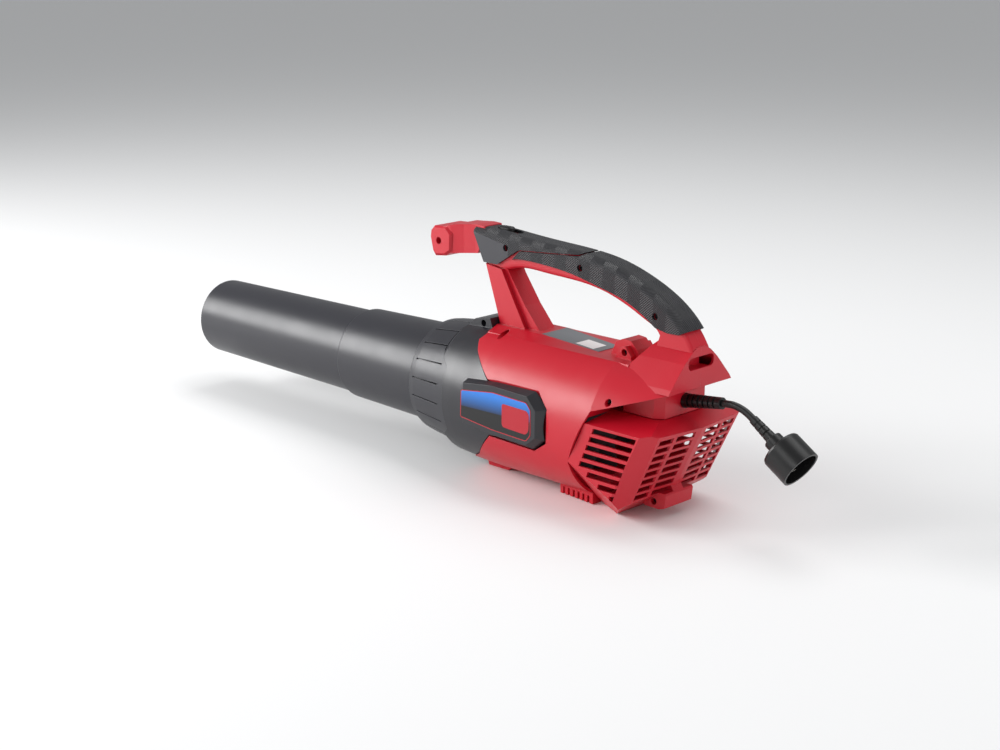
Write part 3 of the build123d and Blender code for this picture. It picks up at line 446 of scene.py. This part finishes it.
def screw_tree(head_material):
    """Pan-head screws with a cross recess on every point of a mesh; their heads look along -Y."""
    tree = bpy.data.node_groups.new("Cross-recess screws", "GeometryNodeTree")
    face = tree.interface
    face.new_socket("Geometry", in_out="INPUT", socket_type="NodeSocketGeometry")
    sizes = {}
    for name in ("Head radius", "Head height", "Shank radius"):
        sizes[name] = face.new_socket(name, in_out="INPUT", socket_type="NodeSocketFloat").identifier
    face.new_socket("Geometry", in_out="OUTPUT", socket_type="NodeSocketGeometry")
    given = add_node(tree, "NodeGroupInput")
    head_r, head_h, shank_r = (given.outputs[name] for name in sizes)
    head = add_node(tree, "GeometryNodeMeshCylinder", [("Radius", head_r), ("Depth", head_h)],
                    inputs={"Vertices": 28})
    slots = []
    for turn in (0, math.pi / 2):
        bar = add_node(tree, "GeometryNodeMeshCube", inputs={"Size": (0.0040, 0.0008, 0.0030)})
        slots.append(add_node(tree, "GeometryNodeTransform", [("Geometry", bar.outputs[0])],
                              inputs={"Translation": (0, 0, 0.0012), "Rotation": (0, 0, turn)}).outputs[0])
    cut = add_node(tree, "GeometryNodeMeshBoolean", [("Mesh 1", head.outputs[0])], operation="DIFFERENCE")
    for socket in slots:
        tree.links.new(socket, cut.inputs["Mesh 2"])
    lift = add_node(tree, "ShaderNodeCombineXYZ", [("Z", math_node(tree, "MULTIPLY", head_h, 0.5))])
    raised = add_node(tree, "GeometryNodeTransform",
                      [("Geometry", cut.outputs[0]), ("Translation", lift.outputs[0])])
    shank = add_node(tree, "GeometryNodeMeshCylinder", [("Radius", shank_r)],
                     inputs={"Vertices": 16, "Depth": 1.0})
    lowered = add_node(tree, "GeometryNodeTransform", [("Geometry", shank.outputs[0])],
                       inputs={"Translation": (0, 0, -0.5)})
    reach = add_node(tree, "GeometryNodeInputNamedAttribute", data_type="FLOAT", inputs={"Name": "reach"})
    stretch = add_node(tree, "ShaderNodeCombineXYZ", [("Z", reach.outputs[0])], inputs={"X": 1.0, "Y": 1.0})
    heads = add_node(tree, "GeometryNodeInstanceOnPoints",
                     [("Points", given.outputs[0]), ("Instance", raised.outputs[0])],
                     inputs={"Rotation": (math.pi / 2, 0, 0)})
    shanks = add_node(tree, "GeometryNodeInstanceOnPoints",
                      [("Points", given.outputs[0]), ("Instance", lowered.outputs[0]),
                       ("Scale", stretch.outputs[0])], inputs={"Rotation": (math.pi / 2, 0, 0)})
    joined = add_node(tree, "GeometryNodeJoinGeometry",
                      [("Geometry", heads.outputs[0]), ("Geometry", shanks.outputs[0])])
    real = add_node(tree, "GeometryNodeRealizeInstances", [("Geometry", joined.outputs[0])])
    finish = add_node(tree, "GeometryNodeSetMaterial", [("Geometry", real.outputs[0])],
                      inputs={"Material": head_material})
    add_node(tree, "NodeGroupOutput", [("Geometry", finish.outputs[0])])
    return tree, sizes


class BLOWER_OT_screws(bpy.types.Operator):
    """Screws in the housing, the grips, the cuff and the intake"""
    bl_idname = "blower.screws"
    bl_label = "Screws"

    def execute(self, context):
        sizes = context.scene.blower_sizes
        tree, names = screw_tree(finishes(context.scene)["screw_steel"])
        for node, spots in SCREWS.items():
            mesh = bpy.data.meshes.new(node + "_points")
            mesh.from_pydata([(x * MM, -seat * MM, z * MM) for x, z, seat in spots], [], [])
            reach = mesh.attributes.new("reach", "FLOAT", "POINT")
            for item, (_, _, seat) in zip(reach.data, spots):
                item.value = (2 * seat - 1) * MM
            source = bpy.data.objects.new(node + "_source", mesh)
            context.scene.collection.objects.link(source)
            maker = source.modifiers.new("Screws", "NODES")
            maker.node_group = tree
            maker[names["Head radius"]] = sizes.screw_head
            maker[names["Head height"]] = HEAD_HEIGHT
            maker[names["Shank radius"]] = sizes.screw_shank
            context.view_layer.update()
            ready = source.evaluated_get(context.evaluated_depsgraph_get())
            made = bpy.data.objects.new(node + "_cross_head", bpy.data.meshes.new_from_object(ready))
            bpy.data.objects.remove(source)
            place(made, MACHINE, "screw_steel", node)
        return {"FINISHED"}


# the lead's middle line, as (x, z) in millimetres, from inside its strain relief to its plug
LEAD_ROUTE = [(413.6, 130.15), (426.5, 131.8), (434.5, 131.5), (442.3, 129.7), (449.7, 126.6), (456.4, 122.2)]


class BLOWER_OT_lead(bpy.types.Operator):
    """The short mains lead between its strain relief and its plug"""
    bl_idname = "blower.lead"
    bl_label = "Mains lead"

    def execute(self, context):
        sizes = context.scene.blower_sizes
        curve = bpy.data.curves.new("mains_lead", "CURVE")
        curve.dimensions = "3D"
        curve.bevel_depth = sizes.lead / 2
        curve.bevel_resolution = 8
        curve.resolution_u = 12
        curve.use_fill_caps = True
        line = curve.splines.new("NURBS")
        line.points.add(len(LEAD_ROUTE) - 1)
        for point, (x, z) in zip(line.points, LEAD_ROUTE):
            point.co = (x * MM, 0.0, z * MM, 1.0)
        line.order_u = 3
        line.use_endpoint_u = True
        curve.materials.append(finishes(context.scene)["cord_rubber"])
        lead = place(bpy.data.objects.new("mains_lead", curve), MACHINE, "cord_rubber", "power_cord")
        x, z = LEAD_ROUTE[0]
        return {"FINISHED"}


# ------------------------------------------------------------------ studio
FLOOR_REACH, FLOOR_HEIGHT = 30.0, -0.0004      # a hair below the foot, so the two faces don't fight
WORLD_STRENGTH = 0.42
CAMERA_PLACE = (1.4370, -1.3403, 0.6128)
CAMERA_TURN, CAMERA_RISE = math.radians(44.78), math.radians(15.18)


def soft_light(name, place_at, aim, width, height, power):
    """A rectangular studio light, in metres and watts, turned towards a point."""
    lamp = bpy.data.lights.new(name, "AREA")
    lamp.shape = "RECTANGLE"
    lamp.size, lamp.size_y = width, height
    lamp.energy = power
    obj = bpy.data.objects.new(name, lamp)
    bpy.context.scene.collection.objects.link(obj)
    obj.location = place_at
    obj.rotation_euler = (Vector(aim) - Vector(place_at)).to_track_quat("-Z", "Y").to_euler()


class BLOWER_OT_stage(bpy.types.Operator):
    """Floor, soft lights and camera"""
    bl_idname = "blower.stage"
    bl_label = "Studio"

    def execute(self, context):
        scene = context.scene
        mesh = bpy.data.meshes.new("paper_floor")
        corners = ((-1, -1), (1, -1), (1, 1), (-1, 1))
        mesh.from_pydata([(x * FLOOR_REACH, y * FLOOR_REACH, FLOOR_HEIGHT) for x, y in corners], [],
                         [(0, 1, 2, 3)])
        mesh.materials.append(studio_floor())
        floor = bpy.data.objects.new("paper_floor", mesh)
        scene.collection.objects.link(floor)
        world = bpy.data.worlds.new("studio")
        world.use_nodes = True
        sky = world.node_tree.nodes["Background"]
        sky.inputs["Color"].default_value = hex_colour("F6F8FA")
        sky.inputs["Strength"].default_value = WORLD_STRENGTH
        scene.world = world
        scene.view_settings.view_transform = "Standard"
        middle = (0.0, 0.0, 0.12)
        soft_light("overhead_box", (0.2, 0.9, 2.3), middle, 2.4, 1.4, 24)
        soft_light("side_box", (-1.75, -1.45, 0.95), (-0.1, 0, 0.1), 1.5, 1.1, 56)
        soft_light("front_box", (0.2, -2.6, 1.6), middle, 1.6, 1.0, 14)
        soft_light("rear_box", (2.6, 0.5, 0.8), (0.3, 0, 0.1), 1.0, 1.0, 14)
        camera = bpy.data.cameras.new("product_angle")
        camera.lens = 63.0
        camera.sensor_width = 36.0
        camera.clip_end = 100.0
        eye = bpy.data.objects.new("product_angle", camera)
        scene.collection.objects.link(eye)
        level = math.cos(CAMERA_RISE)
        back = Vector((math.sin(CAMERA_TURN) * level, -math.cos(CAMERA_TURN) * level, math.sin(CAMERA_RISE)))
        eye.location = CAMERA_PLACE
        eye.rotation_euler = (-back).to_track_quat("-Z", "Y").to_euler()
        scene.camera = eye
        return {"FINISHED"}


class BLOWER_PT_panel(bpy.types.Panel):
    """Sizes, colours and pieces of the leaf blower"""
    bl_idname = "BLOWER_PT_panel"
    bl_label = "Leaf blower"
    bl_space_type = "VIEW_3D"
    bl_region_type = "UI"
    bl_category = "Blower"

    def draw(self, context):
        for group in (context.scene.blower_colours, context.scene.blower_sizes):
            for name in group.bl_rna.properties.keys():
                if name not in ("rna_type", "name"):
                    self.layout.prop(group, name)
        for step in STEPS:
            self.layout.operator(step.bl_idname)


STEPS = (BLOWER_OT_finishes, BLOWER_OT_labels, BLOWER_OT_screws, BLOWER_OT_lead, BLOWER_OT_stage)
CLASSES = (BlowerColours, BlowerSizes) + STEPS + (BLOWER_PT_panel,)


def register():
    for item in CLASSES:
        bpy.utils.register_class(item)
    bpy.types.Scene.blower_colours = PointerProperty(type=BlowerColours)
    bpy.types.Scene.blower_sizes = PointerProperty(type=BlowerSizes)


def unregister():
    del bpy.types.Scene.blower_sizes
    del bpy.types.Scene.blower_colours
    for item in reversed(CLASSES):
        bpy.utils.unregister_class(item)


def main():
    register()
    bpy.ops.blower.finishes()
    bpy.ops.blower.labels()
    bpy.ops.blower.screws()
    bpy.ops.blower.lead()
    bpy.ops.blower.stage()


if __name__ == "__main__":
    main()
